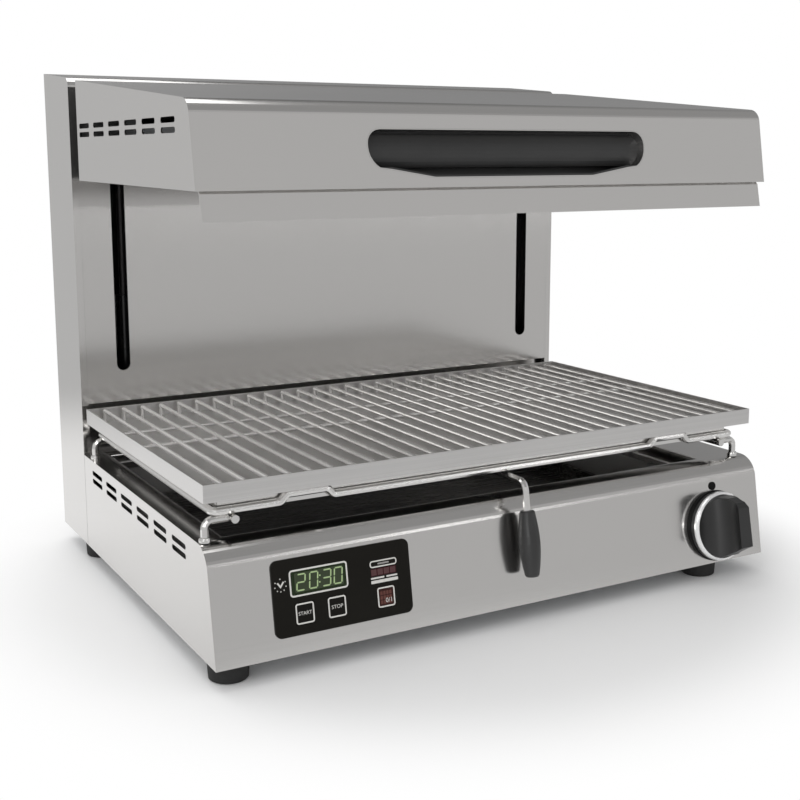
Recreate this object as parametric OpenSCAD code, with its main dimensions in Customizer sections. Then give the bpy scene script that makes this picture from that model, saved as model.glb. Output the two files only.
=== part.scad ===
// Counter-top cheese melter: a rise-and-fall grill head over a removable rack.
// X runs to the right, Y to the back and Z up. The origin is under the middle of
// the whole object, on the worktop. Inside the modules Y is measured from the
// foot of the front panel, and placed() moves it to the origin.

/* [Casing] */
// Width over the side panels
body_w = 600; // [590:5:620]
// Depth from the foot of the front panel to the rear wall
body_d = 468; // [462:2:480]
// Height of the deck above the worktop
deck_z = 116; // [113:1:119]
// Height of the rubber feet
foot_h = 18; // [16:1:20]
// Backward lean of both front faces, in degrees
lean = 9.5; // [8.5:0.5:10.5]
// Thickness of the casing sheet
sheet = 1.5; // [1.2:0.1:1.8]

/* [Head] */
// Height of the head's lower edge at the top of its travel
head_z = 398.5; // [394:0.5:400]
// Height of the head's front, from its lower edge to the plane of its top
head_face_h = 70.5; // [68:0.5:74]
// How far the head rides down
head_travel = 185; // [170:5:185]

/* [Rack] */
// Depth of the grill rack, front to back
rack_d = 340; // [330:1:342]
// Number of grill bars
bar_count = 29; // [25:1:31]
// Diameter of a grill bar
bar_dia = 4; // [3.5:0.5:5]

/* [Hidden] */
$fn = 48;

// Colours
steel = [0.72, 0.71, 0.69];
bright_steel = [0.80, 0.80, 0.79];
zinc = [0.62, 0.63, 0.64];
black = [0.07, 0.07, 0.07];
dark = [0.16, 0.16, 0.16];

// Casing
half_w = body_w / 2;
inner_w = half_w - sheet;
deck_bend = 22;
column_d = 95;
column_y = body_d - column_d;
seam = 0.6;
cap_drop = 15;
top_pitch = 5.3;

// Opening in the deck, and the well below it
open_x0 = -half_w + 31;
open_x1 = half_w - 67;
open_y0 = 50;
open_y1 = column_y - 12;
lip_r = 12;
lip_skirt = 5;
well_floor_z = foot_h + 32;
liner_t = 1;

// Feet
foot_r = 18;
foot_xs = [-half_w + 21, half_w - 62];
foot_ys = [27, body_d - 76];

// Front panel: x across, s up the slope from its lower edge, h out of its surface
knob_x = half_w - 60.5;
knob_s = 37.5;
knob_r = 34.5;
bezel_h = 3;
ring_h0 = 7.5;
face_h = 11.8;
scoop_r = 22;
wing_h = 43;
wing_half_t = 8.5;
lamp_s = 77.5;
overlay_x0 = -half_w + 53.4;
overlay_w = 130;
overlay_s0 = 15.7;
overlay_hs = 64.4;
overlay_t = 1.2;
key_w = 17;
key_s0 = 24.4;
key_hs = 17.6;
key_gap = 0.3;
key_t = 1.2;
start_x = overlay_x0 + 19.2;
stop_x = overlay_x0 + 49;
power_x = overlay_x0 + 96.1;

// Middle of the whole object, from the lowest front corner of the knob's wing
wing_low_s = knob_s - 18;
reach = wing_h * cos(lean) - wing_low_s * sin(lean);
gland_out = 3;
mid_y = (body_d + gland_out - reach) / 2;

// Wire parts
rod_r = 3.5;
stand_x = -4;
loop_x = half_w - 16.7;
loop_y0 = 31;
loop_y1 = column_y - 20;
loop_z = deck_z + 24.7;
hump_z = deck_z + 31;
hump_x0 = 180.5;
hump_x1 = 218.5;
strip_z0 = deck_z + 22.8;
strip_t = 1.2;
strip_x0 = stand_x - loop_x + rod_r + 0.05;
strip_x1 = stand_x + loop_x - rod_r - 0.05;
strip_y0 = loop_y0 + rod_r + 0.05;
strip_y1 = loop_y1 - rod_r - 0.05;
strip_z1 = hump_z + rod_r;
rail_z = loop_z - 2 * rod_r + 0.1;
rail_x = loop_x - 17;
leg_x = half_w - 10;
leg_ys = [loop_y0 + 2.6, loop_y1 - 2.6];
handle_rod_r = 3.35;

// Rack
rack_x = half_w - 2;
rack_y0 = 23.6;
rack_y1 = rack_y0 + rack_d;
rack_z0 = hump_z + rod_r + 0.3;
rack_h = 15.3;
rack_t = 1.2;
rack_handle_x = 1;
rack_handle_z = loop_z - 7.6;
rack_travel = 160;
rack_handle_y = strip_y0 + strip_t + rack_travel + handle_rod_r + 1.5;
bar_z = rack_z0 + rack_h - bar_dia / 2;
cross_rod_dia = 4;
cross_rod_ys = [rack_y0 + 174.4, rack_y0 + 235.4];

// Drip tray
tray_z0 = well_floor_z + liner_t + 0.2;
tray_rim_z = tray_z0 + 16;
tray_t = 1.2;

// Column
slot_x = half_w - 46;
slot_w = 14.5;
panel_z0 = deck_z + 53.5;
guide_x = half_w - 24;
guide_y = body_d - 50;
guide_r = 6;
gas_x = half_w - 62;
gas_r = 9;
gas_rod_r = 4;
running_gap = 0.05;
arm_t = 6;
arm_z0 = head_z + 32.5;
arm_h = 32;
lug_z = arm_z0 + arm_h + 3;
carriage_z0 = arm_z0 - 31;
carriage_h = lug_z + 8 - carriage_z0;
gas_top_z = lug_z - head_travel - 4;
slot_z1 = arm_z0 + arm_h + 15;
slot_z0 = arm_z0 - head_travel - 44;

// Head
head_y0 = 18.8;
head_t = 1.2;
head_w = half_w - 1;
head_back_y = column_y - 25;
head_bend = 14;
head_inner_w = head_w - head_t;
base_plate_z = head_z + 2.7;
apron_bend = 5;
handle_half = 147.5;
handle_s0 = 8.1;
handle_s1 = 49.9;
reflector_x = half_w - 38;
reflector_y0 = 68;
reflector_y1 = head_back_y - 22;
reflector_z = head_z + 20;
element_z = head_z + 11;
element_r = 4.2;
element_half_gap = 21;
element_pitch = (reflector_y1 - reflector_y0 - 72) / 2;
element_ys = [for (i = [0:2]) reflector_y0 + 36 + i * element_pitch];
hanger_xs = [for (i = [-1:1]) i * (reflector_x - 92)];

// Top of the column, a little above the plane of the head's top
head_corner = [head_y0 + head_face_h * tan(lean), head_z + head_face_h];
column_top_z = head_corner[1] + (column_y - head_corner[0]) * tan(top_pitch) + 1.5;

// ---- Helpers ----

// Moves a sub-part from the front panel's foot to the object's middle
module placed(tint) {
    color(tint) translate([0, -mid_y, 0]) children();
}

// Local x, s and h of the sloping front panel
module on_front() {
    translate([0, 0, foot_h]) rotate([90 - lean, 0, 0]) children();
}

// The same for the head's front face
module on_head_front() {
    translate([0, head_y0, head_z]) rotate([90 - lean, 0, 0]) children();
}

// Extrudes an outline given in y and z along the X axis
module along_x(x0, x1) {
    translate([x0, 0, 0]) rotate([90, 0, 90]) linear_extrude(x1 - x0) children();
}

module box(x0, x1, y0, y1, z0, z1) {
    translate([x0, y0, z0]) cube([x1 - x0, y1 - y0, z1 - z0]);
}

module both_sides() {
    children();
    mirror([1, 0, 0]) children();
}

module rod(r, z0, z1) {
    translate([0, 0, z0]) cylinder(r = r, h = z1 - z0);
}

function arc(c, r, a0, a1, n = 10) =
    [for (i = [0:n]) let (a = a0 + (a1 - a0) * i / n) c + r * [cos(a), sin(a)]];

// Outline of a slot of length l and width w, lying along x
function slot_pts(l, w, n = 6) =
    concat(arc([(l - w) / 2, 0], w / 2, -90, 90, n), arc([(w - l) / 2, 0], w / 2, 90, 270, n));

// Rounded rectangle from its lower left corner
function rounded_pts(w, h, r, n = 6) = concat(
    arc([r, r], r, 180, 270, n), arc([w - r, r], r, 270, 360, n),
    arc([w - r, h - r], r, 0, 90, n), arc([r, h - r], r, 90, 180, n));

// A leaning face that bends into a top with the given pitch: its corner and its arc
function fold_corner(y0, z0, h) = [y0 + h * tan(lean), z0 + h];
function fold_centre(k, r, pitch) =
    let (t = r * tan((90 - lean - pitch) / 2))
    k - t * [sin(lean), cos(lean)] + r * [cos(lean), -sin(lean)];
function fold_arc(k, r, pitch, cut = 0) =
    arc(fold_centre(k, r, pitch), r - cut, 180 - lean, 90 + pitch, 12);
// The folded sheet, as an outline of thickness t whose top ends at y1
function fold_top(k, pitch, y1, cut = 0) = [y1, k[1] + (y1 - k[0]) * tan(pitch) - cut / cos(pitch)];
function fold_band(y0, z0, k, r, pitch, y1, t) = concat(
    [[y0, z0]], fold_arc(k, r, pitch), [fold_top(k, pitch, y1)],
    [fold_top(k, pitch, y1, t)], reversed(fold_arc(k, r, pitch, t)), [[y0 + t / cos(lean), z0]]);
function reversed(v) = [for (i = [len(v) - 1:-1:0]) v[i]];

// Round wire along a path: corners of radius r, then a ring of points at each step
function unit(v) = v / norm(v);
function corner_arc(a, b, c, r, n) = let (
    u = unit(a - b), v = unit(c - b), half = acos(u * v) / 2,
    centre = b + unit(u + v) * r / sin(half),
    p = unit(b + u * r / tan(half) - centre), q = unit(b + v * r / tan(half) - centre),
    turn = acos(p * q))
    [for (i = [0:n]) centre + r * (sin(turn * (1 - i / n)) * p + sin(turn * i / n) * q) / sin(turn)];
function bent(pts, r, n = 5) = concat([pts[0]],
    [for (i = [1:len(pts) - 2]) each corner_arc(pts[i - 1], pts[i], pts[i + 1], r, n)],
    [pts[len(pts) - 1]]);
function bent_loop(pts, r, n = 5) = let (c = len(pts))
    [for (i = [0:c - 1]) each corner_arc(pts[(i + c - 1) % c], pts[i], pts[(i + 1) % c], r, n)];

module wire(path, r, ref, closed = false, sides = 10) {
    n = len(path);
    rings = [for (i = [0:n - 1]) let (
        before = closed ? path[(i + n - 1) % n] : path[max(i - 1, 0)],
        after = closed ? path[(i + 1) % n] : path[min(i + 1, n - 1)],
        t = unit(after - before), side = unit(cross(ref, t)), up = cross(t, side))
        for (j = [0:sides - 1]) path[i] + r * (cos(360 * j / sides) * side + sin(360 * j / sides) * up)];
    last = closed ? n - 1 : n - 2;
    walls = [for (i = [0:last], j = [0:sides - 1]) let (
        k = (i + 1) % n, m = (j + 1) % sides)
        [i * sides + j, k * sides + j, k * sides + m, i * sides + m]];
    caps = closed ? [] : [[for (j = [0:sides - 1]) j],
                          [for (j = [sides - 1:-1:0]) (n - 1) * sides + j]];
    polyhedron(rings, concat(walls, caps), convexity = 6);
}

// ---- Base ----

base_corner = fold_corner(0, foot_h, deck_z - foot_h);

// Six ventilation slots in each of two rows, cut through a side panel
vent_pitch = (column_y - 128) / 5;
module vent_cuts(z_rows, y_first) {
    for (z = z_rows, i = [0:5])
        translate([0, y_first + vent_pitch * i, z]) rotate([90, 0, 90]) linear_extrude(30, center = true)
            polygon(slot_pts(34.5, 4.8));
}

// Front panel and deck, folded from one sheet
module front_deck() placed(steel) {
    deck_sheet();
    deck_lip();
}
module deck_sheet() difference() {
    along_x(-inner_w, inner_w)
        polygon(fold_band(0, foot_h, base_corner, deck_bend, 0, column_y + 11, sheet));
    box(open_x0 - lip_r, open_x1 + lip_r, open_y0 - lip_r, open_y1 + lip_r, deck_z - 5, deck_z + 5);
    on_front() {
        translate([knob_x, knob_s, -20]) cylinder(d = 11, h = 30);
        translate([knob_x, lamp_s, -20]) cylinder(d = 8, h = 30);
        translate([overlay_x0 + 9, overlay_s0 + 6, -10])
            cube([overlay_w - 18, overlay_hs - 12, 20]);
    }
}

module side_panel() difference() {
    along_x(-half_w, -inner_w) polygon(concat([[0, foot_h]], fold_arc(base_corner, deck_bend, 0),
        [[column_y - seam, deck_z], [column_y - seam, foot_h]]));
    translate([-half_w, 0, 0]) vent_cuts([deck_z - 12.2, deck_z - 20.6], 80.5);
}

module side_panel_left() placed(steel) side_panel();

module side_panel_right() placed(steel) mirror([1, 0, 0]) side_panel();

module base_floor() placed(zinc) difference() {
    box(-inner_w, inner_w, 2, body_d - sheet, foot_h, foot_h + sheet);
    for (x = foot_xs, y = foot_ys) translate([x, y, 0]) cylinder(d = 6.4, h = 40);
    for (i = [0:8]) translate([-160 + 40 * i, 200, foot_h])
        rotate([0, 0, 90]) linear_extrude(8, center = true) polygon(slot_pts(120, 6));
}

// Inner box that closes the opening in the deck from the wiring
// Rolled edge round the opening: a quarter bend down into the well, with a short skirt
module lip_bar(l) linear_extrude(l) difference() {
    intersection() {
        circle(r = lip_r);
        square(lip_r + 1);
    }
    circle(r = lip_r - sheet);
}
module deck_lip() {
    x0 = open_x0 - lip_r;
    x1 = open_x1 + lip_r;
    y0 = open_y0 - lip_r;
    y1 = open_y1 + lip_r;
    z = deck_z - lip_r;
    translate([x0, y1, z]) rotate([90, 0, 0]) lip_bar(y1 - y0);
    translate([x1, y0, z]) rotate([90, 0, 180]) lip_bar(y1 - y0);
    translate([x0, y0, z]) rotate([90, 0, 90]) lip_bar(x1 - x0);
    translate([x1, y1, z]) rotate([90, 0, -90]) lip_bar(x1 - x0);
    difference() {
        box(open_x0 - sheet, open_x1 + sheet, open_y0 - sheet, open_y1 + sheet, z - lip_skirt, z + 0.1);
        box(open_x0, open_x1, open_y0, open_y1, z - lip_skirt - 1, z + 1);
    }
}

// Deep well that hangs from the skirt
module well_liner() placed(steel) difference() {
    g = sheet + 0.05;
    top = deck_z - lip_r - 0.05;
    box(open_x0 - g - liner_t, open_x1 + g + liner_t, open_y0 - g - liner_t, open_y1 + g + liner_t,
        well_floor_z, top);
    box(open_x0 - g, open_x1 + g, open_y0 - g, open_y1 + g, well_floor_z + liner_t, top + 1);
}

module foot(x, y) translate([x, y, 0]) rotate_extrude()
    polygon([[0, 0], [foot_r - 2, 0], [foot_r - 1.2, 0.8], [foot_r, foot_h], [5, foot_h],
             [5, 9], [0, 9]]);

module foot_front_left() placed(black) foot(foot_xs[0], foot_ys[0]);

module foot_front_right() placed(black) foot(foot_xs[1], foot_ys[0]);

module foot_rear_left() placed(black) foot(foot_xs[0], foot_ys[1]);

module foot_rear_right() placed(black) foot(foot_xs[1], foot_ys[1]);

// Screw and nut that hold each foot to the floor
module foot_screws() placed(zinc) for (x = foot_xs, y = foot_ys) translate([x, y, 0]) {
    rod(4.8, 9.2, 13);
    rod(3, 12.9, foot_h + 9);
    translate([0, 0, foot_h + sheet]) cylinder(d = 11.5, h = 5, $fn = 6);
}

// ---- Controls ----

// Sunk places for the displays and holes for the keys in the printed overlay
module control_overlay() placed(black) on_front() difference() {
    translate([overlay_x0, overlay_s0, 0])
        linear_extrude(overlay_t) polygon(rounded_pts(overlay_w, overlay_hs, 6));
    for (x = [start_x, stop_x, power_x])
        translate([x - key_gap, key_s0 - key_gap, -1])
            cube([key_w + 2 * key_gap, key_hs + 2 * key_gap, 5]);
    translate([overlay_x0 + 16.6, overlay_s0 + 32.9, -1]) cube([52, 20.8, 5]);
    translate([overlay_x0 + 91.4, overlay_s0 + 36.3, -1]) cube([25.2, 7, 5]);
}

module time_display() placed([0.05, 0.16, 0.05]) on_front()
    translate([overlay_x0 + 16.8, overlay_s0 + 33.1, -7]) cube([51.6, 20.4, 8]);

module power_display() placed([0.2, 0.02, 0.02]) on_front()
    translate([overlay_x0 + 91.6, overlay_s0 + 36.5, -7]) cube([24.8, 6.6, 8]);

// Circuit board, with the switches under the keys and the posts that hold it
module control_board() placed([0.05, 0.3, 0.15]) on_front() {
    translate([overlay_x0 + 10, overlay_s0 + 7, -8.6])
        cube([overlay_w - 20, overlay_hs - 14, 1.6]);
    for (x = [start_x, stop_x, power_x])
        translate([x + key_w / 2, key_s0 + key_hs / 2, -7.1]) cylinder(d = 7, h = 3.6);
}

// A key: a thin cap in the overlay, a flange that keeps it in and a stem over its switch
module key_cap(x) on_front() {
    translate([x, key_s0, -0.5])
        linear_extrude(overlay_t + 0.5) polygon(rounded_pts(key_w, key_hs, 1.5));
    translate([x - 1.2, key_s0 - 1.2, -1.6]) cube([key_w + 2.4, key_hs + 2.4, 1.3]);
    translate([x + key_w / 2, key_s0 + key_hs / 2, -2.6]) cylinder(d = 5, h = 1.1);
}

module start_key() placed(dark) key_cap(start_x);

module stop_key() placed(dark) key_cap(stop_x);

module power_key() placed([0.6, 0.1, 0.06]) key_cap(power_x);

// Turning knob: skirt, dished face and a wing to grip, with a bore for the shaft
module knob() placed(black) on_front() translate([knob_x, knob_s, 0]) difference() {
    union() {
        rod(knob_r, bezel_h + 0.4, ring_h0);
        rod(knob_r - 2.6, ring_h0 - 0.1, face_h);
        difference() {
            intersection() {
                rotate([90, 0, 90]) linear_extrude(2 * (wing_half_t + scoop_r), center = true)
                    polygon([[-31, face_h - 0.1], [-29, 18], [wing_low_s - knob_s, wing_h],
                             [21, wing_h - 1], [26, wing_h - 5], [30, 28], [31, face_h - 0.1]]);
                rod(knob_r - 2.8, 0, wing_h + 1);
            }
            // scoops for the fingers on both flanks
            both_sides() translate([wing_half_t - 3 + scoop_r, 0, face_h + scoop_r]) rotate([90, 0, 0])
                cylinder(r = scoop_r, h = 80, center = true, $fn = 96);
        }
    }
    rod(3.05, -1, 24);
}

// Bright ring round the knob's face
module knob_trim_ring() placed(bright_steel) on_front() translate([knob_x, knob_s, 0])
    rotate_extrude() polygon([[knob_r - 2.55, ring_h0 + 0.05], [knob_r, ring_h0 + 0.05],
        [knob_r, ring_h0 + 2.2], [knob_r - 0.9, ring_h0 + 3.6], [knob_r - 2.55, face_h]]);

module knob_bezel() placed(black) on_front() translate([knob_x, knob_s, 0]) rotate_extrude()
    polygon([[5.6, 0], [knob_r + 1, 0], [knob_r + 1, bezel_h - 1], [knob_r, bezel_h], [5.6, bezel_h]]);

// Rotary heat regulator behind the panel, with its round shaft through the bezel
module heat_regulator() placed([0.85, 0.83, 0.78]) on_front() translate([knob_x, knob_s, 0]) {
    translate([-20, -20, -sheet - 18]) cube([40, 40, 18]);
    rod(5, -sheet - 0.1, 0.5);
    rod(3, 0.4, 23.5);
    for (x = [-12, 12], s = [-10, 10])
        translate([x - 3, s - 0.4, -sheet - 22]) cube([6, 0.8, 4.1]);
}

module indicator_lamp() placed(black) on_front() translate([knob_x, lamp_s, 0]) {
    rod(4.15, 0, 1);
    rod(3.95, -14, 0.1);
}

// ---- Drip tray ----

// Shallow pan with a turned-over rim, on the floor of the well
module drip_tray() placed(dark) {
    x0 = open_x0 + 6;
    x1 = open_x1 - 6;
    y0 = open_y0 + 6;
    y1 = open_y1 - 6;
    difference() {
        union() {
            box(x0, x1, y0, y1, tray_z0, tray_rim_z);
            box(x0 - 4, x1 + 4, y0 - 4, y1 + 4, tray_rim_z - tray_t, tray_rim_z);
        }
        box(x0 + tray_t, x1 - tray_t, y0 + tray_t, y1 - tray_t, tray_z0 + tray_t, tray_rim_z + 1);
    }
}

// Barrel-shaped grip, hanging from its top
module grip(l, r_mid) difference() {
    rotate_extrude() polygon(concat([[0, 0], [6, 0], [7, -1.2]],
        [for (i = [1:7]) [7 + (r_mid - 7) * sin(22.5 * i), -1.2 - (l - 3.6) * i / 8]],
        [[6.7, -l + 1.6], [5.5, -l], [0, -l]]));
    rod(handle_rod_r + 0.02, -22, 1);
}

// ---- Wire support for the rack ----

// Closed wire frame; its front and rear rods rise to the rack in two places each
function hump_pts(y) = [for (p = [[-hump_x1 - 5, loop_z], [-hump_x1, hump_z], [-hump_x0, hump_z],
                                  [-hump_x0 + 6, loop_z], [hump_x0 - 6, loop_z], [hump_x0, hump_z],
                                  [hump_x1, hump_z], [hump_x1 + 5, loop_z]])
    [stand_x + p[0], y, p[1]]];
module support_loop() placed(bright_steel)
    wire(bent_loop(concat(
        [[stand_x - loop_x, loop_y0, loop_z]], hump_pts(loop_y0),
        [[stand_x + loop_x, loop_y0, loop_z], [stand_x + loop_x, loop_y1, loop_z]],
        reversed(hump_pts(loop_y1)), [[stand_x - loop_x, loop_y1, loop_z]]), 5, 4),
        rod_r, [0, 0, 1], closed = true);

// Two rails below the loop
module support_rails() placed(bright_steel)
    for (side = [-1, 1]) translate([stand_x + side * rail_x, loop_y0 - 6, rail_z]) rotate([-90, 0, 0])
        cylinder(r = rod_r, h = loop_y1 - loop_y0 + 12);

// Strips on edge inside the loop, on which the rack slides
module rack_runners() placed(bright_steel) {
    for (y = [strip_y0, strip_y1 - strip_t])
        box(strip_x0 + 1.4, strip_x1 - 1.4, y, y + strip_t, strip_z0, strip_z1);
    for (x = [strip_x0, strip_x1 - strip_t])
        box(x, x + strip_t, strip_y0 + strip_t + 0.05, strip_y1 - strip_t - 0.05, strip_z0, strip_z1);
}

// Corner legs: each stands on the deck and turns inwards under the loop
module support_legs() placed(bright_steel) for (y = leg_ys, side = [-1, 1])
    wire(bent([[stand_x + side * leg_x, y, deck_z + 0.8], [stand_x + side * leg_x, y, rail_z],
               [stand_x + side * (rail_x + rod_r), y, rail_z]], 7), rod_r, [0, 1, 0]);

module leg_ferrules() placed(zinc) for (y = leg_ys, x = [stand_x - leg_x, stand_x + leg_x])
    translate([x, y, deck_z]) rotate_extrude()
        polygon([[0, 0], [5, 0], [5, 2], [4.4, 4], [rod_r + 0.05, 4], [rod_r + 0.05, 0.8], [0, 0.8]]);

// ---- Grill rack ----

// Shallow pan that carries the bars and catches the first fat
module rack_pan() placed(bright_steel) difference() {
    box(-rack_x, rack_x, rack_y0, rack_y1, rack_z0, rack_z0 + rack_h);
    box(-rack_x + rack_t, rack_x - rack_t, rack_y0 + rack_t, rack_y1 - rack_t,
        rack_z0 + rack_t, rack_z0 + rack_h + 1);
}

// Bars from front to back on two cross rods, each with its rear end turned down
module rack_bars() placed(bright_steel) {
    first_x = -rack_x + 17;
    pitch = -2 * first_x / (bar_count - 1);
    floor_z = rack_z0 + rack_t;
    for (i = [0:bar_count - 1]) translate([first_x + pitch * i, 0, 0]) {
        translate([0, rack_y0 + rack_t, bar_z]) rotate([-90, 0, 0])
            cylinder(d = bar_dia, h = rack_d - 9.4, $fn = 12);
        translate([0, rack_y1 - 8.2, floor_z]) cylinder(d = bar_dia, h = bar_z - floor_z, $fn = 12);
    }
    for (y = cross_rod_ys) translate([-rack_x + rack_t, y, bar_z - (bar_dia + cross_rod_dia) / 2 + 0.1])
        rotate([0, 90, 0]) cylinder(d = cross_rod_dia, h = 2 * (rack_x - rack_t), $fn = 12);
}

// Rod under the rack: it passes below the support's front rod, so the rack can't tip
module rack_handle_rod() placed(bright_steel)
    wire(bent([[rack_handle_x, rack_handle_y, rack_z0],
               [rack_handle_x, rack_handle_y, rack_handle_z],
               [rack_handle_x, 3.4, rack_handle_z],
               [rack_handle_x, 3.4 - 46 * sin(lean), rack_handle_z - 46 * cos(lean)]], 9),
         handle_rod_r, [1, 0, 0]);

module rack_grip() placed(black)
    translate([rack_handle_x, 3.4 - 26 * sin(lean), rack_handle_z - 26 * cos(lean)])
        rotate([-lean, 0, 0]) grip(60, 9.8);

// ---- Column ----

function column_z(y) = column_top_z + (y - column_y) * tan(top_pitch);
// The bend between the column's front and its top
function column_bend_pts(cut = 0) = let (r = 10, t = r * tan((90 - top_pitch) / 2))
    arc([column_y + r, column_top_z - t], r - cut, 180, 90 + top_pitch, 8);

// Rear wall and both side walls, with a narrow flange down each front edge
module column_shell() placed(steel) difference() {
    along_x(-half_w, half_w) polygon([[column_y, foot_h], [body_d, foot_h],
        [body_d, column_z(body_d)], each reversed(column_bend_pts())]);
    along_x(-inner_w, inner_w) polygon([[column_y + sheet, 0], [body_d - sheet, 0],
        [body_d - sheet, 600], [column_y + sheet, 600]]);
    box(-half_w + 7, half_w - 7, column_y - 1, column_y + sheet + 1, 0, 600);
    box(-inner_w, inner_w, column_y - 1, column_y + 3, 0, deck_z + 1);
    box(-inner_w, inner_w, column_y - 1, column_y + 3, column_top_z - cap_drop - 0.1, 600);
    for (i = [0:9], z = [column_top_z - 62, column_top_z - 50]) translate([-202.5 + 45 * i, body_d, z])
        rotate([90, 0, 0]) linear_extrude(8, center = true) polygon(slot_pts(32, 5));
    translate([180, body_d + 2, 62]) rotate([90, 0, 0]) cylinder(d = 20.4, h = 8);
}

// Panel behind the food, with a slot for each lift arm
module back_panel() placed(steel) difference() {
    union() {
        box(-half_w + 7.1, half_w - 7.1, column_y, column_y + sheet, panel_z0, column_top_z - cap_drop - 0.1);
        box(-inner_w + 0.1, inner_w - 0.1, column_y + sheet, column_y + 2 * sheet,
            panel_z0, column_top_z - cap_drop + 5);
        box(-half_w + 7.1, half_w - 7.1, column_y, column_y + 11, panel_z0, panel_z0 + sheet);
    }
    for (x = [-slot_x, slot_x]) translate([x, column_y, (slot_z0 + slot_z1) / 2])
        rotate([90, 0, 0]) rotate([0, 0, 90]) linear_extrude(20, center = true)
            polygon(slot_pts(slot_z1 - slot_z0, slot_w, 10));
}

// Set back below the panel, down to the deck, so a dark gap shows over the rack
module lower_back_panel() placed(steel)
    box(-inner_w + 0.1, inner_w - 0.1, column_y + 11.1, column_y + 12.3, deck_z - 20, panel_z0 + 14);

module column_top() placed(steel)
    along_x(-inner_w + 0.1, inner_w - 0.1) polygon(concat(
        [[column_y, column_top_z - cap_drop]], column_bend_pts(),
        [[body_d - sheet - 0.1, column_z(body_d - sheet)],
         [body_d - sheet - 0.1, column_z(body_d - sheet) - sheet]],
        reversed(column_bend_pts(sheet)), [[column_y + sheet - 0.05, column_top_z - cap_drop]]));

// ---- Lift ----

module guide_rods() placed(bright_steel) both_sides()
    translate([guide_x, guide_y, 0]) rod(guide_r, foot_h + sheet, column_top_z - 6);

// Blocks that hold each guide rod to the rear wall
module guide_rod_clamps() placed(zinc) both_sides() for (z = [deck_z + 14, column_top_z - 20])
    difference() {
        box(guide_x - 13, guide_x + 13, guide_y - 11, body_d - sheet, z, z + 14);
        translate([guide_x, guide_y, 0]) rod(guide_r + 0.01, z - 1, z + 15);
    }

// Gas springs that balance the head, standing on the floor
module gas_spring_cylinders() placed(black) both_sides() translate([gas_x, guide_y, 0]) difference() {
    union() {
        rod(5, foot_h + sheet, 40.1);
        rod(gas_r, 40, gas_top_z);
    }
    rod(gas_r - 1.5, 44, gas_top_z - 8);
    rod(gas_rod_r + running_gap, 44, gas_top_z + 1);
}

module gas_spring_rods() placed(bright_steel) both_sides() translate([gas_x, guide_y, 0]) {
    rod(gas_rod_r, gas_top_z - 16, lug_z);
    rod(gas_r - 1.5 - running_gap, gas_top_z - 16, gas_top_z - 10);
}

// Blocks that slide on the guide rods, each with a lug over its gas spring
module carriages() placed(zinc) both_sides() difference() {
    union() {
        box(slot_x + arm_t / 2, guide_x + 14, guide_y - 15, guide_y + 14,
            carriage_z0, carriage_z0 + carriage_h);
        box(gas_x - 9, slot_x + arm_t / 2 + 0.1, guide_y - 9, guide_y + 9,
            lug_z, carriage_z0 + carriage_h);
    }
    translate([guide_x, guide_y, 0]) rod(guide_r + 3, 0, 600);
}

module carriage_bushes() placed([0.72, 0.53, 0.25]) both_sides()
    for (z = [carriage_z0, carriage_z0 + carriage_h - 20])
        translate([guide_x, guide_y, 0]) difference() {
            rod(guide_r + 3 - 0.01, z, z + 20);
            rod(guide_r + running_gap, z - 1, z + 21);
        }

// Plates from the carriages through the slots into the head
module lift_arms() placed(zinc) both_sides()
    box(slot_x - arm_t / 2, slot_x + arm_t / 2, head_back_y - 60, guide_y + 14,
        arm_z0, arm_z0 + arm_h);

// ---- Head ----

function head_top(y, cut = 0) = fold_top(head_corner, top_pitch, y, cut);

// Outline of the head's handle: straight top, round ends and sloping lower corners
function handle_pts(grow = 0) = let (
    low = handle_s0 - grow,
    right = concat([[handle_half - 63.5, low], [handle_half - 21.5, low + 7]],
                   arc([handle_half - 21, handle_s0 + 26.5], 21 + grow, -60, 0, 5),
                   arc([handle_half - 13, handle_s1 - 13], 13 + grow, 0, 90, 5)))
    concat(right, [for (i = [len(right) - 1:-1:0]) [-right[i][0], right[i][1]]]);

// Front and top of the head, folded from one sheet
module head_shell() placed(steel) difference() {
    along_x(-head_inner_w, head_inner_w)
        polygon(fold_band(head_y0, head_z, head_corner, head_bend, top_pitch, head_back_y, head_t));
    on_head_front() translate([0, 0, -8]) linear_extrude(16) polygon(handle_pts(0.1));
}

module head_side() difference() {
    along_x(-head_w, -head_inner_w) polygon(concat([[head_y0, head_z]],
        fold_arc(head_corner, head_bend, top_pitch),
        [head_top(head_back_y), [head_back_y, head_z + 2.5]]));
    translate([-head_w, 0, 0]) vent_cuts([head_z + 55.3, head_z + 47.1], 77.5);
}

module head_side_left() placed(steel) head_side();

module head_side_right() placed(steel) mirror([1, 0, 0]) head_side();

module head_back() placed(steel) difference() {
    box(-head_inner_w, head_inner_w, head_back_y - head_t, head_back_y,
        base_plate_z + head_t, head_top(head_back_y - head_t, head_t)[1]);
    both_sides() box(slot_x - arm_t / 2, slot_x + arm_t / 2, head_back_y - 5, head_back_y + 5,
        arm_z0, arm_z0 + arm_h);
}

// Underside of the head round the heating opening
module head_base_plate() placed(steel) difference() {
    box(-head_inner_w, head_inner_w, head_y0 + 2, head_back_y, base_plate_z, base_plate_z + head_t);
    box(-reflector_x, reflector_x, reflector_y0, reflector_y1, base_plate_z - 1, base_plate_z + 2);
}

// Deflector that hangs below the front face, set in at both ends
module head_apron() placed(steel) {
    y = head_y0 + 4;
    drop = 26.5;
    y_low = y - drop * tan(lean);
    along_x(-half_w + 5.8, half_w - 5.8) polygon([
        [y_low, base_plate_z - drop], [y_low + head_t, base_plate_z - drop],
        [y + head_t, base_plate_z - apron_bend - 0.5], [y + apron_bend + 0.5, base_plate_z - head_t],
        [y + 12, base_plate_z - head_t], [y + 12, base_plate_z],
        [y + apron_bend, base_plate_z], [y, base_plate_z - apron_bend]]);
}

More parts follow.
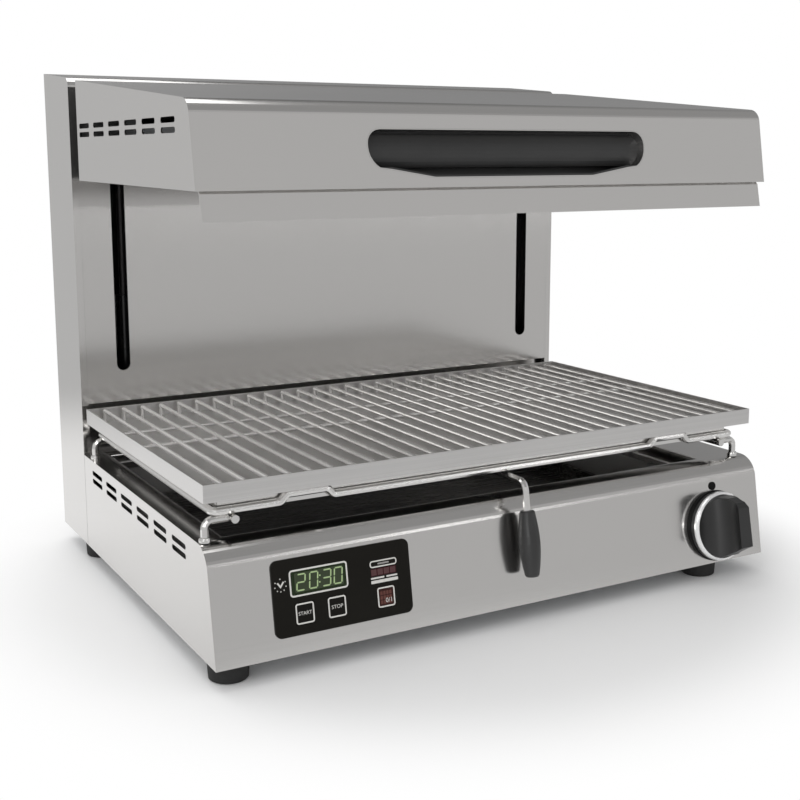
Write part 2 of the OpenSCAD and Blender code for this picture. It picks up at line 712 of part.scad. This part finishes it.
// Box-section bearers that carry the head on the lift arms
module head_bearers() placed(zinc) both_sides() difference() {
    box(slot_x - arm_t / 2 - 18, slot_x - arm_t / 2, reflector_y0 + 2, head_back_y - head_t,
        reflector_z + head_t + 10.4, arm_z0 + 22);
    box(slot_x - arm_t / 2 - 16, slot_x - arm_t / 2 - 2, reflector_y0, head_back_y,
        reflector_z + head_t + 12.4, arm_z0 + 20);
}

// Moulded insert: a rounded bar across the top and a pocket for the fingers under it
module head_handle() placed(black) on_head_front() difference() {
    translate([0, 0, -30]) linear_extrude(29) polygon(handle_pts(-1));
    // front of the bar, rounded from its top to its lower edge
    rotate([90, 0, 90]) linear_extrude(400, center = true)
        polygon(concat([[handle_s1 + 1, 1], [handle_s1 + 1, -7]],
            arc([34, -32.5], 24.5, 56, 130, 10), [[handle_s0 + 9.5, 1]]));
    // pocket that goes up behind the bar
    intersection() {
        translate([0, 0, -31]) linear_extrude(33) polygon(handle_pts(-2.8));
        rotate([90, 0, 90]) linear_extrude(400, center = true)
            polygon([[handle_s0, 1], [handle_s0 + 11, 1], [handle_s0 + 11, -18],
                     [handle_s0 + 30, -21], [handle_s0 + 30, -27.5], [handle_s0, -27.5]]);
    }
}

// Return flange round the cut-out that holds the insert
module handle_surround() placed(steel) on_head_front() difference() {
    translate([0, 0, -13]) linear_extrude(13) polygon(handle_pts(0));
    translate([0, 0, -20]) linear_extrude(30) polygon(handle_pts(-0.95));
}

// Reflector over the heating elements, open below
module reflector() placed(bright_steel) difference() {
    box(-reflector_x + 0.1, reflector_x - 0.1, reflector_y0 + 0.1, reflector_y1 - 0.1,
        head_z + 2, reflector_z + head_t);
    box(-reflector_x + 1.3, reflector_x - 1.3, reflector_y0 + 1.3, reflector_y1 - 1.3,
        head_z, reflector_z);
    for (y = element_ys, d = [-1, 1])
        translate([reflector_x - 5, y + d * element_half_gap, element_z]) rotate([0, 90, 0])
            cylinder(r = element_r + 0.6, h = 10);
}

module insulation() placed([0.85, 0.83, 0.75])
    box(-reflector_x + 4, reflector_x - 4, reflector_y0 + 2, reflector_y1 - 2,
        reflector_z + head_t, reflector_z + head_t + 10.3);

// Hairpin heating elements that run across the head
module heating_elements() placed([0.33, 0.30, 0.28]) for (y = element_ys)
    wire(bent([[reflector_x + 8, y - element_half_gap, element_z],
               [-reflector_x + 16, y - element_half_gap, element_z],
               [-reflector_x + 16, y + element_half_gap, element_z],
               [reflector_x + 8, y + element_half_gap, element_z]], 20.5, 8),
         element_r, [0, 0, 1], sides = 12);

module element_hangers() placed(bright_steel) for (x = hanger_xs) difference() {
    box(x - 0.6, x + 0.6, reflector_y0 + 8, reflector_y1 - 8, element_z - 7, reflector_z);
    for (y = element_ys, d = [-1, 1]) translate([x - 3, y + d * element_half_gap, element_z])
        rotate([0, 90, 0]) cylinder(r = element_r + 0.15, h = 6);
}

module element_terminals() placed([0.9, 0.88, 0.82]) for (y = element_ys, d = [-1, 1])
    translate([reflector_x + 8, y + d * element_half_gap, element_z]) rotate([0, 90, 0]) {
        rod(5.5, 0, 9);
        rod(2, 8.9, 16);
    }

// ---- Supply ----

module terminal_block() placed([0.88, 0.86, 0.8]) {
    box(120, 176, body_d - 60, body_d - 38, foot_h + sheet, foot_h + sheet + 24);
    for (i = [0:3]) translate([127 + 14 * i, body_d - 49, foot_h + sheet + 23.9])
        cylinder(d = 6, h = 2);
}

// Cable entry through the rear wall: a nut outside, a thread and a nut inside
module cable_gland() placed(black) translate([180, body_d, 62]) rotate([-90, 0, 0]) difference() {
    union() {
        translate([0, 0, -12]) cylinder(d = 20, h = 12.1);
        translate([0, 0, -sheet - 5]) cylinder(d = 27, h = 5, $fn = 6);
        cylinder(d = 25, h = gland_out);
    }
    translate([0, 0, -13]) cylinder(d = 11, h = 30);
}

front_deck();
side_panel_left();
side_panel_right();
base_floor();
well_liner();
foot_front_left();
foot_front_right();
foot_rear_left();
foot_rear_right();
foot_screws();
control_overlay();
time_display();
power_display();
control_board();
start_key();
stop_key();
power_key();
knob();
knob_trim_ring();
knob_bezel();
heat_regulator();
indicator_lamp();
drip_tray();
support_loop();
support_rails();
rack_runners();
support_legs();
leg_ferrules();
rack_pan();
rack_bars();
rack_handle_rod();
rack_grip();
column_shell();
back_panel();
lower_back_panel();
column_top();
guide_rods();
guide_rod_clamps();
gas_spring_cylinders();
gas_spring_rods();
carriages();
carriage_bushes();
lift_arms();
head_shell();
head_side_left();
head_side_right();
head_back();
head_base_plate();
head_apron();
head_bearers();
head_handle();
handle_surround();
reflector();
insulation();
heating_elements();
element_hangers();
element_terminals();
terminal_block();
cable_gland();
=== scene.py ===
import math

import bmesh
import bpy
from mathutils import Matrix, Vector


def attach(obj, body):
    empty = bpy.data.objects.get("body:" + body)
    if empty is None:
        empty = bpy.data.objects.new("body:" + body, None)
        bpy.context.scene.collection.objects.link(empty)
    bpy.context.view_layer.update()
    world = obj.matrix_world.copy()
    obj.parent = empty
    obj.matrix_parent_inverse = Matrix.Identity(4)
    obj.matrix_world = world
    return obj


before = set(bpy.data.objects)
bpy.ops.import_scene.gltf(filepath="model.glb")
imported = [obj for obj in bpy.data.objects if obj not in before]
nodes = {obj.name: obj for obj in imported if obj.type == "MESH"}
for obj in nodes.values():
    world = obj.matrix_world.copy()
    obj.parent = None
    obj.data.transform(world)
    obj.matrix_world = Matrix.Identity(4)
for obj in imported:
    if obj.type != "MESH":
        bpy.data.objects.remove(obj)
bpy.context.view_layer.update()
scene = bpy.context.scene

# ---------------------------------------------------------------- places
MID = 0.215904                  # m from the casing's front to the middle of the footprint
PANEL_FOOT_Z = 18               # mm, lower edge of the sloping front panel
LEAN = math.radians(9.5)        # how far that panel leans back
UP = Vector((0, math.sin(LEAN), math.cos(LEAN)))
OUT = Vector((0, -math.cos(LEAN), math.sin(LEAN)))


def spot(x, y, z):
    """Casing millimetres to the row frame."""
    return Vector((x / 1000, y / 1000 - MID, z / 1000))


def front(x, s, h=0.0):
    """A place on the sloping front panel: across, up the slope and out of it, in mm."""
    return spot(x, 0, PANEL_FOOT_Z) + (UP * s + OUT * h) / 1000


FRONT_M = Matrix((
    (1, UP.x, OUT.x, 0), (0, UP.y, OUT.y, 0), (0, UP.z, OUT.z, 0), (0, 0, 0, 1)))

# ---------------------------------------------------------------- shader nodes
NOISE_SPAN = (0.3, 0.7)         # the part of a noise's range that is used
NOISE_ROUGHNESS = 0.55


def new_material(name):
    """A material, its node tree and its shader."""
    m = bpy.data.materials.new(name)
    m.use_nodes = True
    t = m.node_tree
    return m, t, t.nodes["Principled BSDF"]


def noise(t, scale, detail):
    """Noise in the object's own space, with so many grains to the metre along each axis."""
    co = t.nodes.new("ShaderNodeTexCoord")
    mp = t.nodes.new("ShaderNodeMapping")
    mp.inputs["Scale"].default_value = scale
    n = t.nodes.new("ShaderNodeTexNoise")
    n.inputs["Scale"].default_value = 1.0
    n.inputs["Detail"].default_value = detail
    n.inputs["Roughness"].default_value = NOISE_ROUGHNESS
    t.links.new(co.outputs["Object"], mp.inputs["Vector"])
    t.links.new(mp.outputs["Vector"], n.inputs["Vector"])
    return n.outputs["Fac"]


def ramp(t, value, span, low, high, kind="SMOOTHSTEP"):
    """Low below the span, high above it, and a slope between."""
    r = t.nodes.new("ShaderNodeMapRange")
    r.interpolation_type = kind
    for key, v in zip(("From Min", "From Max", "To Min", "To Max"), (*span, low, high)):
        r.inputs[key].default_value = v
    t.links.new(value, r.inputs["Value"])
    return r.outputs["Result"]


def spread(t, fac, middle, reach):
    """A noise turned into a value that varies about its middle."""
    return ramp(t, fac, NOISE_SPAN, middle - reach, middle + reach, "LINEAR")


def tint(t, fac, dark, light):
    """A noise turned into a colour between two."""
    r = t.nodes.new("ShaderNodeValToRGB")
    for stop, position, colour in zip(r.color_ramp.elements, NOISE_SPAN, (dark, light)):
        stop.position = position
        stop.color = (*colour, 1)
    t.links.new(fac, r.inputs["Fac"])
    return r.outputs["Color"]


def maths(t, how, *values):
    """A sum over plain numbers and other nodes' outputs."""
    n = t.nodes.new("ShaderNodeMath")
    n.operation = how
    for k, v in enumerate(values):
        if isinstance(v, float):
            n.inputs[k].default_value = v
        else:
            t.links.new(v, n.inputs[k])
    return n.outputs[0]


def mix(t, factor, first, second):
    """One shader at a factor of 0 and the other at 1."""
    n = t.nodes.new("ShaderNodeMixShader")
    for k, v in enumerate((factor, first, second)):
        t.links.new(v, n.inputs[k])
    return n.outputs[0]


def bump(t, bsdf, height, strength, distance):
    b = t.nodes.new("ShaderNodeBump")
    b.inputs["Strength"].default_value = strength
    b.inputs["Distance"].default_value = distance
    t.links.new(height, b.inputs["Height"])
    t.links.new(b.outputs["Normal"], bsdf.inputs["Normal"])


# ---------------------------------------------------------------- materials
BRUSH_LONG, BRUSH_FINE = 3, 700         # grains to the metre along and across the brushing
METAL_CLOUD = (6, 6, 6)
LINE_SHARE, CLOUD_SHARE = 0.6, 0.4      # what streaks and clouds give to the tone
BRUSH_DEPTH = 0.0003                    # m
MOULD_CLOUD = (14, 14, 14)
MOULD_TONE, MOULD_GLOSS = 0.12, 0.05    # how far a plastic's tone and gloss vary
MOULD_DEPTH = 0.0002                    # m
INK_CLOUD = (400, 400, 400)


def metal(name, colour, rough, along="x", streak=0.03, grain=0.05, vary=0.05, aniso=0.4,
          full=1.0):
    """Brushed or drawn metal: fine streaks along one axis, with soft changes of tone."""
    m, t, b = new_material(name)
    line = noise(t, [BRUSH_LONG if axis == along else BRUSH_FINE for axis in "xyz"], 5.0)
    cloud = noise(t, METAL_CLOUD, 3.0)
    tone = maths(t, "MULTIPLY_ADD", line, LINE_SHARE, maths(t, "MULTIPLY", cloud, CLOUD_SHARE))
    k0, k1 = 1 - grain, 1 + grain
    t.links.new(tint(t, tone, [c * k0 for c in colour], [c * k1 for c in colour]),
                b.inputs["Base Color"])
    t.links.new(spread(t, line, rough, vary), b.inputs["Roughness"])
    b.inputs["Metallic"].default_value = full
    b.inputs["Anisotropic"].default_value = aniso
    bump(t, b, line, streak, BRUSH_DEPTH)
    return m


def plastic(name, colour, rough, grain=900.0, strength=0.08, spec=0.5, coat=0.0):
    """Moulded plastic, rubber or enamel: a fine grain and soft changes of gloss."""
    m, t, b = new_material(name)
    fine = noise(t, (grain, grain, grain), 2.0)
    cloud = noise(t, MOULD_CLOUD, 4.0)
    dark = [c * (1 - MOULD_TONE) for c in colour]
    light = [min(1, c * (1 + MOULD_TONE)) for c in colour]
    t.links.new(tint(t, cloud, dark, light), b.inputs["Base Color"])
    t.links.new(spread(t, cloud, rough, MOULD_GLOSS), b.inputs["Roughness"])
    b.inputs["Specular IOR Level"].default_value = spec
    b.inputs["Coat Weight"].default_value = coat
    bump(t, b, fine, strength, MOULD_DEPTH)
    return m


def print_ink(name, colour, strength=0.0):
    """Printing ink, or a lit digit where it has a strength."""
    m, t, b = new_material(name)
    cloud = noise(t, INK_CLOUD, 3.0)
    t.links.new(tint(t, cloud, [c * 0.9 for c in colour], colour), b.inputs["Base Color"])
    b.inputs["Roughness"].default_value = 0.5
    if strength:
        b.inputs["Emission Color"].default_value = (*colour, 1)
        b.inputs["Emission Strength"].default_value = strength
    return m


PANEL = (0.66, 0.648, 0.634)
POLISHED = {"streak": 0.003, "grain": 0.008, "vary": 0.015, "aniso": 0.15}
STEEL_X, STEEL_Y, STEEL_Z = [
    metal("panel_steel_" + axis, PANEL, 0.16, axis, **POLISHED) for axis in "xyz"]
BACK = metal("back_steel", (0.65, 0.638, 0.624), 0.18, "x", **POLISHED)
WIRE = metal("wire_steel", (0.76, 0.75, 0.735), 0.16, "x", 0.005, 0.02, 0.02, 0.0)
BAR = metal("bar_steel", (0.87, 0.855, 0.84), 0.23, "y", 0.01, 0.03, 0.02, 0.0, 0.65)
PAN = metal("pan_steel", (0.68, 0.67, 0.66), 0.34, "x", 0.03, 0.07, 0.03, 0.1)
DARK_STEEL = metal("well_steel", PANEL, 0.24, "x", 0.005, 0.02, 0.02, 0.1, 0.35)
ZINC = metal("zinc_steel", (0.50, 0.51, 0.52), 0.42, "z", 0.05, 0.10)
CHROME = metal("bright_ring", (0.95, 0.95, 0.95), 0.22, "x", 0.0, 0.01, 0.02, 0.0, 0.6)
# Painted shade: the guide rods' steel is darkened so that they read dark inside the shaded
# column, seen through its slots
GUIDE_SHADE = metal("guide_steel", (0.10, 0.095, 0.095), 0.45, "z", 0.02)
# Painted shade: the head's back is darkened so that the narrow gap between it and the back
# panel reads black
HEAD_BACK_SHADE = metal("head_back_shade", (0.16, 0.16, 0.16), 0.50, "z", 0.02)
BRASS = metal("bush_brass", (0.60, 0.42, 0.18), 0.30, "z")
SHEATH = metal("element_sheath", (0.16, 0.14, 0.13), 0.48, "x", 0.08, 0.25)
BLACK = plastic("black_plastic", (0.026, 0.026, 0.026), 0.36, spec=0.45)
KNOB = plastic("knob_plastic", (0.017, 0.017, 0.017), 0.36, 1100, 0.05)
JET = plastic("bezel_plastic", (0.004, 0.004, 0.004), 0.42, 1100, 0.05, 0.12)
RUBBER = plastic("foot_rubber", (0.012, 0.012, 0.012), 0.75, 500, 0.2)
PAINT = plastic("black_paint", (0.012, 0.012, 0.012), 0.28, 300, 0.03, 0.5, 0.2)
FILM = plastic("overlay_film", (0.0075, 0.0067, 0.0050), 0.40, 1500, 0.03, 0.12)
KEY = plastic("key_film", (0.0065, 0.0058, 0.0045), 0.40, 1500, 0.03, 0.12)
KEY_RED = plastic("key_red_window", (0.030, 0.008, 0.006), 0.30, 1200, 0.05, 0.2)
GLASS_GREEN = plastic("green_window", (0.014, 0.024, 0.009), 0.25, 1200, 0.02, 0.2)
GLASS_RED = plastic("red_window", (0.036, 0.010, 0.012), 0.25, 1200, 0.02, 0.2)
BOARD = plastic("board", (0.02, 0.10, 0.05), 0.40)
CERAMIC = plastic("ceramic", (0.72, 0.69, 0.62), 0.35)
FIBRE = plastic("fibre", (0.62, 0.59, 0.50), 0.90, 150, 0.6)
# Painted shade: the tray's steel is darkened to stand for the shade it lies in under the rack
TRAY_SHADE = metal("tray_steel", (0.16, 0.155, 0.15), 0.26, "x", 0.005, 0.02)
WHITE = print_ink("print_white", (0.66, 0.65, 0.62))
GREY = print_ink("print_grey", (0.30, 0.29, 0.28))
LIT = print_ink("digit_lit", (0.36, 0.48, 0.24), 0.12)
LIT_BACK = print_ink("digit_back", (0.017, 0.028, 0.008), 0.25)
RED_DIM = print_ink("red_segments", (0.062, 0.018, 0.020), 0.15)
RED_GRID = print_ink("red_grid", (0.085, 0.020, 0.013), 0.15)

LOOK = {
    STEEL_X: "front_deck head_shell head_apron handle_surround column_top lower_back_panel",
    STEEL_Y: "side_panel_left side_panel_right head_side_left head_side_right",
    STEEL_Z: "column_shell",
    BACK: "back_panel",
    WIRE: "support_loop support_rails rack_runners support_legs rack_handle_rod "
          "leg_ferrules element_hangers",
    BAR: "rack_bars",
    PAN: "rack_pan reflector",
    DARK_STEEL: "well_liner head_base_plate",
    ZINC: "base_floor foot_screws guide_rod_clamps carriages lift_arms head_bearers",
    GUIDE_SHADE: "guide_rods gas_spring_rods",
    HEAD_BACK_SHADE: "head_back",
    CHROME: "knob_trim_ring",
    BRASS: "carriage_bushes",
    SHEATH: "heating_elements",
    BLACK: "rack_grip head_handle cable_gland",
    JET: "knob_bezel indicator_lamp",
    KNOB: "knob",
    RUBBER: "foot_front_left foot_front_right foot_rear_left foot_rear_right",
    PAINT: "gas_spring_cylinders",
    FILM: "control_overlay",
    KEY: "start_key stop_key",
    KEY_RED: "power_key",
    GLASS_GREEN: "time_display",
    GLASS_RED: "power_display",
    BOARD: "control_board",
    CERAMIC: "heat_regulator element_terminals terminal_block",
    FIBRE: "insulation",
    TRAY_SHADE: "drip_tray",
}
for material, names in LOOK.items():
    for name in names.split():
        for s in nodes[name].material_slots:
            s.link = "OBJECT"
            s.material = material

# ---------------------------------------------------------------- printed and lit marks
CORNER_STEPS = 5


def add_mark(name, mesh, material, body):
    """Puts a mark on the overlay, where it moves with the body."""
    mesh.materials.clear()
    mesh.materials.append(material)
    o = bpy.data.objects.new(name, mesh)
    scene.collection.objects.link(o)
    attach(o, body)


def flat(name, loops, h, material, body):
    """Flat pieces on the front plane. Each loop is an outline, or an (outer, inner) pair."""
    bm = bmesh.new()
    for loop in loops:
        if isinstance(loop, tuple):
            outer, inner = loop
            a = [bm.verts.new(front(x, s, h)) for x, s in outer]
            b = [bm.verts.new(front(x, s, h)) for x, s in inner]
            n = len(a)
            for i in range(n):
                bm.faces.new((a[i], a[(i + 1) % n], b[(i + 1) % n], b[i]))
        else:
            bm.faces.new([bm.verts.new(front(x, s, h)) for x, s in loop])
    bmesh.ops.triangulate(bm, faces=[f for f in bm.faces if len(f.verts) > 4])
    me = bpy.data.meshes.new(name)
    bm.to_mesh(me)
    bm.free()
    add_mark(name, me, material, body)


def word(name, text, x, s, size, h, material, body):
    """A word in the plain built-in lettering, centred on its place and turned into a mesh."""
    c = bpy.data.curves.new(name, "FONT")
    c.body = text
    c.size = size / 1000
    c.align_x = "CENTER"
    c.align_y = "CENTER"
    c.resolution_u = 3
    t = bpy.data.objects.new(name + "_curve", c)
    scene.collection.objects.link(t)
    bpy.context.view_layer.update()
    me = bpy.data.meshes.new_from_object(
        t.evaluated_get(bpy.context.evaluated_depsgraph_get()))
    bpy.data.objects.remove(t)
    me.transform(Matrix.Translation(front(x, s, h)) @ FRONT_M)
    add_mark(name, me, material, body)


def rounded(x0, s0, x1, s1, r):
    """A rectangle with round corners."""
    pts = []
    for cx, cy, a in ((x1 - r, s0 + r, -90), (x1 - r, s1 - r, 0),
                      (x0 + r, s1 - r, 90), (x0 + r, s0 + r, 180)):
        for i in range(CORNER_STEPS + 1):
            t = math.radians(a + 90 * i / CORNER_STEPS)
            pts.append((cx + r * math.cos(t), cy + r * math.sin(t)))
    return pts


def outline(x0, s0, x1, s1, r, w):
    """A printed line of width w round a rectangle, as an (outer, inner) pair."""
    return rounded(x0, s0, x1, s1, r), rounded(x0 + w, s0 + w, x1 - w, s1 - w, max(r - w, 0.3))


def disc(x, s, r, n=12):
    turns = [2 * math.pi * i / n for i in range(n)]
    return [(x + r * math.cos(a), s + r * math.sin(a)) for a in turns]


SEGMENTS = {"0": "abcdef", "2": "abged", "3": "abgcd"}
DIGIT_FOOT, DIGIT_W, DIGIT_H, STROKE = 52.0, 8.4, 14.4, 1.15
POINT_GAP = 0.25                # mm from a bar's point to the corner of the digit
SLANT = 0.10                    # mm sideways for each mm up


def digit(ch, x):
    """One seven-segment digit, as outlines of its lit bars."""
    m = DIGIT_H / 2
    g = POINT_GAP
    q = STROKE / 2
    w, t = DIGIT_W, STROKE

    def bar_h(y):
        return [(q + g, y), (t + g, y + q), (w - t - g, y + q),
                (w - q - g, y), (w - t - g, y - q), (t + g, y - q)]

    def bar_v(x0, y0, y1):
        return [(x0, y0 + g), (x0 + q, y0 + q + g), (x0 + q, y1 - q - g),
                (x0, y1 - g), (x0 - q, y1 - q - g), (x0 - q, y0 + q + g)]

    shapes = {"a": bar_h(DIGIT_H - q), "g": bar_h(m), "d": bar_h(q),
              "f": bar_v(q, m, DIGIT_H - q), "b": bar_v(w - q, m, DIGIT_H - q),
              "e": bar_v(q, q, m), "c": bar_v(w - q, q, m)}
    return [[(x + px + SLANT * py, DIGIT_FOOT + py) for px, py in shapes[k]]
            for k in SEGMENTS[ch]]


# heights over the panel's plane, and places across and up it, all in mm
GLOW_H, FIGURE_H, PRINT_H, GLYPH_H = 1.04, 1.10, 1.28, 1.33

flat("display_frame", [outline(-230.9, 47.7, -177.1, 70.3, 3.0, 1.4)], PRINT_H, WHITE, "base")
flat("display_glow", [rounded(-226.0, 51.2, -181.2, 67.2, 1.0)], GLOW_H, LIT_BACK, "base")
figures = []
for ch, x in zip("2030", (-225.2, -213.6, -201.4, -190.8)):
    figures += digit(ch, x)
figures += [disc(-203.3, 56.5, 0.7), disc(-202.8, 62.0, 0.7)]
flat("display_figures", figures, FIGURE_H, LIT, "base")

ICON_X, ICON_S, ICON_R = -239.0, 59.6, 5.2
rays = []
for degrees in (90, 150, 195, 235, 270, 305, 345, 30):
    a = math.radians(degrees)
    rays.append(disc(ICON_X + ICON_R * math.cos(a), ICON_S + ICON_R * math.sin(a), 0.55, 8))
chevron = [(-242.2, 61.6), (-240.9, 62.2), (-239.0, 59.3),
           (-236.6, 62.6), (-235.4, 61.9), (-239.0, 57.0)]
flat("timer_icon", rays + [chevron], PRINT_H, WHITE, "base")

flat("power_pill", [outline(-155.6, 59.6, -129.4, 65.6, 2.4, 1.1)], PRINT_H, WHITE, "base")
flat("power_pill_mark", [rounded(-148.0, 61.9, -137.0, 63.3, 0.5)], PRINT_H, GREY, "base")
bars = [rounded(-155.4, 49.9, -142.4, 51.3, 0.4), rounded(-140.4, 49.9, -129.6, 51.3, 0.4),
        rounded(-155.4, 46.0, -129.2, 48.7, 0.5)]
flat("power_bars", bars, PRINT_H, WHITE, "base")
CELL_PITCH = 6.1
cells = [rounded(-154.6 + CELL_PITCH * i, 52.9, -149.4 + CELL_PITCH * i, 58.0, 0.5)
         for i in range(4)]
flat("power_cells", cells, GLOW_H, RED_DIM, "base")

for key, x in (("start", -227.4), ("stop", -197.6), ("power", -150.5)):
    ring = outline(x + 0.1, 24.5, x + 16.9, 41.9, 2.2, 1.25)
    flat(key + "_outline", [ring], PRINT_H, WHITE, key)
word("start_word", "START", -218.9, 33.2, 4.2, PRINT_H, WHITE, "start")
word("stop_word", "STOP", -189.1, 33.2, 4.5, PRINT_H, WHITE, "stop")
GRID_X, GRID_S = 2.9, 3.9       # pitch of the power key's lit grid
grid = [rounded(-147.7 + GRID_X * i, 27.4 + GRID_S * j,
                -145.4 + GRID_X * i, 30.6 + GRID_S * j, 0.3)
        for i in range(4) for j in range(3)]
flat("power_grid", grid, PRINT_H, RED_GRID, "power")
word("power_glyph", "0/1", -139.4, 30.0, 5.6, GLYPH_H, WHITE, "power")

# ---------------------------------------------------------------- softened edges
SOFT_ANGLE = math.radians(30)
SOFT_EDGES = {                  # width of the rounding, mm
    "knob": 0.8, "head_handle": 0.9, "rack_grip": 0.7, "front_deck": 0.35,
    "side_panel_left": 0.35, "side_panel_right": 0.35, "column_shell": 0.4,
    "head_side_left": 0.35, "head_side_right": 0.35, "head_apron": 0.3, "rack_pan": 0.9,
    "control_overlay": 0.3,
}
for name, width in SOFT_EDGES.items():
    edges = nodes[name].modifiers.new("edges", "BEVEL")
    edges.width = width / 1000
    edges.segments = 2
    edges.limit_method = "ANGLE"
    edges.angle_limit = SOFT_ANGLE
    edges.harden_normals = True

# ---------------------------------------------------------------- camera
CAMERA_AT = (-624.57, -871.32, 426.19)          # casing mm
YAW, PITCH, ROLL = math.radians(29.55), math.radians(-9.38), math.radians(-0.09)

cam = bpy.data.cameras.new("camera")
cam.sensor_width = 36.0
cam.lens = 54.79
cam.shift_y = -0.0556
cam.clip_start = 0.05
cam_o = bpy.data.objects.new("camera", cam)
scene.collection.objects.link(cam_o)
fwd = Vector((math.sin(YAW) * math.cos(PITCH), math.cos(YAW) * math.cos(PITCH),
              math.sin(PITCH)))
level = Vector((math.cos(YAW), -math.sin(YAW), 0))
above = level.cross(fwd)
right = level * math.cos(ROLL) + above * math.sin(ROLL)
up = above * math.cos(ROLL) - level * math.sin(ROLL)
cam_o.matrix_world = Matrix.Translation(spot(*CAMERA_AT)) @ Matrix((
    (right.x, up.x, -fwd.x, 0), (right.y, up.y, -fwd.y, 0),
    (right.z, up.z, -fwd.z, 0), (0, 0, 0, 1)))
scene.camera = cam_o

# ---------------------------------------------------------------- world
# What metal sees round it is even in front, a little lighter to the rear left, darker to the
# rear right and darker overhead. The spans are over the ray's direction.
WALL_FRONT, WALL_LEFT, WALL_RIGHT = 0.585, 0.06, -0.33
REARWARD, SIDEWAYS, OVERHEAD = (0.1, 0.8), (-0.5, 0.5), (0.35, 0.6)
OVERHEAD_SHARE = 0.60
PLAIN_TONE = 0.645

scene.view_settings.view_transform = "Standard"
world = bpy.data.worlds.new("studio")
scene.world = world
world.use_nodes = True
wt = world.node_tree
wt.nodes.clear()
path = wt.nodes.new("ShaderNodeLightPath").outputs
way = wt.nodes.new("ShaderNodeSeparateXYZ")
wt.links.new(wt.nodes.new("ShaderNodeTexCoord").outputs["Generated"], way.inputs[0])


def background(tone):
    """A world of one grey, or of the tone that a node gives."""
    n = wt.nodes.new("ShaderNodeBackground")
    if isinstance(tone, float):
        n.inputs["Color"].default_value = (tone, tone, tone, 1)
    else:
        wt.links.new(tone, n.inputs["Color"])
    return n.outputs[0]


behind = ramp(wt, way.outputs["Y"], REARWARD, 0.0, 1.0)
side = ramp(wt, way.outputs["X"], SIDEWAYS, WALL_LEFT, WALL_RIGHT)
walls = maths(wt, "ADD", maths(wt, "MULTIPLY", behind, side), WALL_FRONT)
walls = maths(wt, "MULTIPLY", walls,
              ramp(wt, way.outputs["Z"], OVERHEAD, 1.0, OVERHEAD_SHARE))
off_camera = mix(wt, path["Is Glossy Ray"], background(PLAIN_TONE), background(walls))
all_rays = mix(wt, path["Is Camera Ray"], off_camera, background(1.0))
wt.links.new(all_rays, wt.nodes.new("ShaderNodeOutputWorld").inputs["Surface"])

# ---------------------------------------------------------------- lamps
LAMPS = (                       # name, place, aim and size in m, and watts
    ("softbox", (-0.4, 0.9, 2.3), (-0.4, 0.9, 0), (1.8, 2.6), 27),
    ("fill", (-1.7, -1.2, 1.6), (0, 0, 0.1), (1.2, 1.2), 12),
    ("low_fill", (-1.5, -1.7, 0.35), (0.15, 0, 0.1), (0.9, 0.4), 5),
    ("strip", (0.6, -0.9, 0.38), (0.2, -0.2, 0.12), (1.3, 0.012), 0.22),
)
for name, place, aim, size, power in LAMPS:
    d = bpy.data.lights.new(name, "AREA")
    d.shape = "RECTANGLE"
    d.size, d.size_y = size
    d.energy = power
    o = bpy.data.objects.new(name, d)
    scene.collection.objects.link(o)
    o.location = place
    o.rotation_euler = (Vector(aim) - Vector(place)).to_track_quat("-Z", "Y").to_euler()

# ---------------------------------------------------------------- floor
# Round the object the lamps shade the floor, so it keeps the shadow. Farther out it has a plain
# tone: white to the camera, and to metal the tone of the walls, lighter in a band behind.
FLOOR_TONE, FLOOR_ROUGH, FLOOR_RADIUS, FLOOR_DROP = 0.93, 0.6, 8, 0.0005
FADE = (0.34, 0.50)             # m from the middle, where the plain tone sets in
BAND_END = (0.70, 1.30)         # m from the middle, where the lighter band dies away
BAND_DEPTH = (-0.45, 0.1)       # m from front to back, over which it grows
LEFT_EDGE = (-0.34, -0.28)      # m across; left of it metal sees the near floor half plain
LEFT_SHARE = 0.5

floor_m, ft, shaded = new_material("floor")
shaded.inputs["Base Color"].default_value = (FLOOR_TONE, FLOOR_TONE, FLOOR_TONE, 1)
shaded.inputs["Roughness"].default_value = FLOOR_ROUGH
position = ft.nodes.new("ShaderNodeNewGeometry").outputs["Position"]
distance = ft.nodes.new("ShaderNodeVectorMath")
distance.operation = "LENGTH"
ft.links.new(position, distance.inputs[0])
where = ft.nodes.new("ShaderNodeSeparateXYZ")
ft.links.new(position, where.inputs[0])
ray = ft.nodes.new("ShaderNodeLightPath").outputs

mirror = maths(ft, "MAXIMUM", ray["Is Glossy Ray"], ray["Is Transmission Ray"])
seen = maths(ft, "MAXIMUM", ray["Is Camera Ray"], mirror)
band = maths(ft, "MULTIPLY",
             ramp(ft, distance.outputs["Value"], BAND_END, 1.0 - WALL_FRONT, 0.0),
             ramp(ft, where.outputs["Y"], BAND_DEPTH, 0.0, 1.0))
glow = ft.nodes.new("ShaderNodeEmission")
ft.links.new(maths(ft, "MAXIMUM", ray["Is Camera Ray"], maths(ft, "ADD", band, WALL_FRONT)),
             glow.inputs["Strength"])
far = maths(ft, "MULTIPLY", ramp(ft, distance.outputs["Value"], FADE, 0.0, 1.0), seen)
left = maths(ft, "MULTIPLY", mirror, ramp(ft, where.outputs["X"], LEFT_EDGE, LEFT_SHARE, 0.0))
ft.links.new(mix(ft, maths(ft, "MAXIMUM", far, left), shaded.outputs[0], glow.outputs[0]),
             ft.nodes["Material Output"].inputs["Surface"])

bm = bmesh.new()
bmesh.ops.create_circle(bm, cap_ends=True, segments=64, radius=FLOOR_RADIUS)
floor_mesh = bpy.data.meshes.new("floor")
bm.to_mesh(floor_mesh)
bm.free()
floor_mesh.materials.append(floor_m)
floor = bpy.data.objects.new("floor", floor_mesh)
floor.location.z = -FLOOR_DROP
scene.collection.objects.link(floor)
